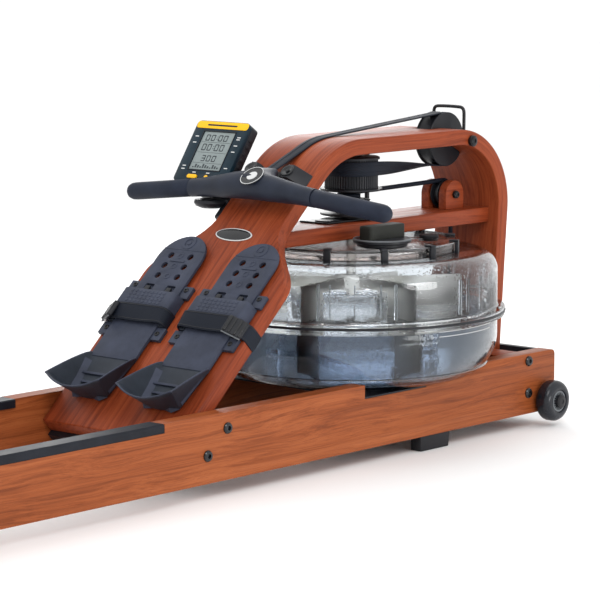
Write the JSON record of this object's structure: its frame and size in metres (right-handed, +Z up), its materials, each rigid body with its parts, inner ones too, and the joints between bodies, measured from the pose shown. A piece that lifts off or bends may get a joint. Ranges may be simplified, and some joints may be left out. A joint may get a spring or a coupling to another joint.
{
  "type": "water rowing machine",
  "caption": "Water-resistance rowing machine: wooden rails, bent wooden arch, smoked water tank with paddle, belt-driven handle, sliding seat and foot plates.",
  "frame": {"origin": "on the floor, midway along the object's length and on its centre plane", "axes": "+X along the rails towards the water tank, which is the way the rower faces; +Y to the rower's left; +Z up"},
  "size_m": [2.12, 0.5832, 0.5627],
  "materials": {
    "rail_wood": "satin oiled hardwood",
    "arch_wood": "semi-gloss reddish stain",
    "track_plastic": "smooth black runner",
    "smoked_tank": "smoked polycarbonate",
    "clear_lid": "grey polycarbonate",
    "rubber": "matte",
    "grip_foam": "soft foam",
    "webbing": "woven",
    "seat_vinyl": "soft black vinyl",
    "black_steel": "satin black",
    "monitor_face": "satin",
    "yellow_button": "satin",
    "foot_plastic": "fine texture",
    "black_plastic": "fine texture"
  },
  "bodies": {
    "base_frame": {"rail_right": "rail_wood", "rail_left": "rail_wood", "track_right": "track_plastic", "track_left": "track_plastic", "foot_front_right": "rubber", "foot_front_left": "rubber", "foot_rear_bar": "rubber", "rear_cross_panel": "black_plastic", "front_cross_panel": "black_plastic", "post_base_block": "arch_wood", "footboard_cross_block": "black_plastic", "arch_board": "arch_wood", "arch_cross_beam": "arch_wood", "tank_support_tray": "black_plastic", "tank_lower_shell": "smoked_tank", "tank_gasket": "rubber", "tank_upper_shell": "smoked_tank", "tank_lid": "clear_lid", "inner_tank": "smoked_tank", "shaft_housing": "black_steel", "tie_rod": "black_steel", "pulley_bracket_right": "arch_wood", "pulley_bracket_left": "arch_wood", "bungee_pulley_axle": "black_steel", "base_pulley_axle": "black_steel", "belt_pulley_axle": "black_steel", "belt_guard_wire": "black_steel", "drive_belt": "webbing", "bungee_cord": "webbing", "handle_rest": "black_plastic", "monitor_arm": "black_plastic", "foot_base_right": "foot_plastic", "foot_base_left": "foot_plastic", "foot_strap_right": "webbing", "foot_strap_left": "webbing", "wheel_axle": "black_steel"},
    "seat": {"seat_frame": "black_steel", "seat_cushion": "seat_vinyl"},
    "handle": {"handle_hub": "foot_plastic", "grip_right": "grip_foam", "grip_left": "grip_foam"},
    "drum": {"belt_drum": "black_plastic"},
    "belt_wheel": {"belt_pulley": "black_plastic"},
    "upper_cord_wheel": {"bungee_pulley": "black_plastic"},
    "lower_cord_wheel": {"base_pulley": "black_plastic"},
    "paddle": {"impeller": "black_plastic"},
    "adjuster": {"adjuster_knob": "black_plastic"},
    "plug": {"filler_plug": "rubber"},
    "monitor": {"monitor_back": "black_plastic", "monitor_bezel": "monitor_face"},
    "select_button": {"button_select": "yellow_button"},
    "reset_button": {"button_reset": "yellow_button"},
    "heel_right": {"heel_plate_right": "foot_plastic"},
    "heel_left": {"heel_plate_left": "foot_plastic"},
    "transport_wheel_right": {"wheel_right": "rubber"},
    "transport_wheel_left": {"wheel_left": "rubber"},
    "roller_rear_right": {"seat_roller_rear_right": "rubber"},
    "roller_rear_left": {"seat_roller_rear_left": "rubber"},
    "roller_front_right": {"seat_roller_front_right": "rubber"},
    "roller_front_left": {"seat_roller_front_left": "rubber"}
  },
  "joints": [
    {"name": "seat_slide", "type": "slide", "parent": "base_frame", "child": "seat", "axis": [1, 0, 0], "range_m": [-0.148, 0.7]},
    {"name": "roller_rear_right_spin", "type": "hinge", "parent": "seat", "child": "roller_rear_right", "pos_m": [-0.862, -0.166, 0.1563], "axis": [0, 1, 0], "continuous": true},
    {"name": "roller_rear_left_spin", "type": "hinge", "parent": "seat", "child": "roller_rear_left", "pos_m": [-0.862, 0.166, 0.1563], "axis": [0, 1, 0], "continuous": true},
    {"name": "roller_front_right_spin", "type": "hinge", "parent": "seat", "child": "roller_front_right", "pos_m": [-0.682, -0.166, 0.1563], "axis": [0, 1, 0], "continuous": true},
    {"name": "roller_front_left_spin", "type": "hinge", "parent": "seat", "child": "roller_front_left", "pos_m": [-0.682, 0.166, 0.1563], "axis": [0, 1, 0], "continuous": true},
    {"name": "handle_pull", "type": "slide", "parent": "base_frame", "child": "handle", "axis": [-0.9903, 0, 0.1392], "range_m": [0, 1], "stiffness_N_per_m": 25, "springref_m": -0.8},
    {"name": "drum_spin", "type": "hinge", "parent": "base_frame", "child": "drum", "pos_m": [0.708, 0, 0.46], "axis": [0, 0, 1], "continuous": true},
    {"name": "belt_wheel_spin", "type": "hinge", "parent": "base_frame", "child": "belt_wheel", "pos_m": [0.948, 0, 0.503], "axis": [0, 1, 0], "continuous": true},
    {"name": "upper_cord_wheel_spin", "type": "hinge", "parent": "base_frame", "child": "upper_cord_wheel", "pos_m": [0.958, 0, 0.4046], "axis": [0, 1, 0], "continuous": true},
    {"name": "lower_cord_wheel_spin", "type": "hinge", "parent": "base_frame", "child": "lower_cord_wheel", "pos_m": [0.958, 0, 0.062], "axis": [0, 1, 0], "continuous": true},
    {"name": "paddle_spin", "type": "hinge", "parent": "base_frame", "child": "paddle", "pos_m": [0.708, 0, 0.27], "axis": [0, 0, 1], "continuous": true},
    {"name": "adjuster_turn", "type": "hinge", "parent": "base_frame", "child": "adjuster", "pos_m": [0.656, -0.113, 0.35], "axis": [0, 0, 1], "range_deg": [0, 180]},
    {"name": "plug_lift", "type": "slide", "parent": "base_frame", "child": "plug", "axis": [0, 0, 1], "range_m": [0, 0.025]},
    {"name": "monitor_tilt", "type": "hinge", "parent": "base_frame", "child": "monitor", "pos_m": [0.5071, 0.1425, 0.43113], "axis": [0, 1, 0], "range_deg": [0, 25]},
    {"name": "select_press", "type": "slide", "parent": "monitor", "child": "select_button", "axis": [0.8271, 0, -0.5621], "range_m": [0, 0.0015], "stiffness_N_per_m": 400, "springref_m": -0.002},
    {"name": "reset_press", "type": "slide", "parent": "monitor", "child": "reset_button", "axis": [0.8271, 0, -0.5621], "range_m": [0, 0.0015], "stiffness_N_per_m": 400, "springref_m": -0.002},
    {"name": "heel_right_slide", "type": "slide", "parent": "base_frame", "child": "heel_right", "axis": [0.7314, 0, 0.682], "range_m": [-0.045, 0.03]},
    {"name": "heel_left_slide", "type": "slide", "parent": "base_frame", "child": "heel_left", "axis": [0.7314, 0, 0.682], "range_m": [-0.045, 0.03]},
    {"name": "transport_wheel_right_spin", "type": "hinge", "parent": "base_frame", "child": "transport_wheel_right", "pos_m": [1.024, -0.2005, 0.0446], "axis": [0, 1, 0], "continuous": true},
    {"name": "transport_wheel_left_spin", "type": "hinge", "parent": "base_frame", "child": "transport_wheel_left", "pos_m": [1.024, 0.2005, 0.0446], "axis": [0, 1, 0], "continuous": true}
  ],
  "couplings": [
    {"joint": "roller_rear_right_spin", "follows": "seat_slide", "rad_per_m": 41.667},
    {"joint": "roller_rear_left_spin", "follows": "seat_slide", "rad_per_m": 41.667},
    {"joint": "roller_front_right_spin", "follows": "seat_slide", "rad_per_m": 41.667},
    {"joint": "roller_front_left_spin", "follows": "seat_slide", "rad_per_m": 41.667},
    {"joint": "drum_spin", "follows": "handle_pull", "rad_per_m": 20.921},
    {"joint": "belt_wheel_spin", "follows": "handle_pull", "rad_per_m": -21.367},
    {"joint": "upper_cord_wheel_spin", "follows": "handle_pull", "rad_per_m": -18.131},
    {"joint": "lower_cord_wheel_spin", "follows": "handle_pull", "rad_per_m": -18.131}
  ]
}
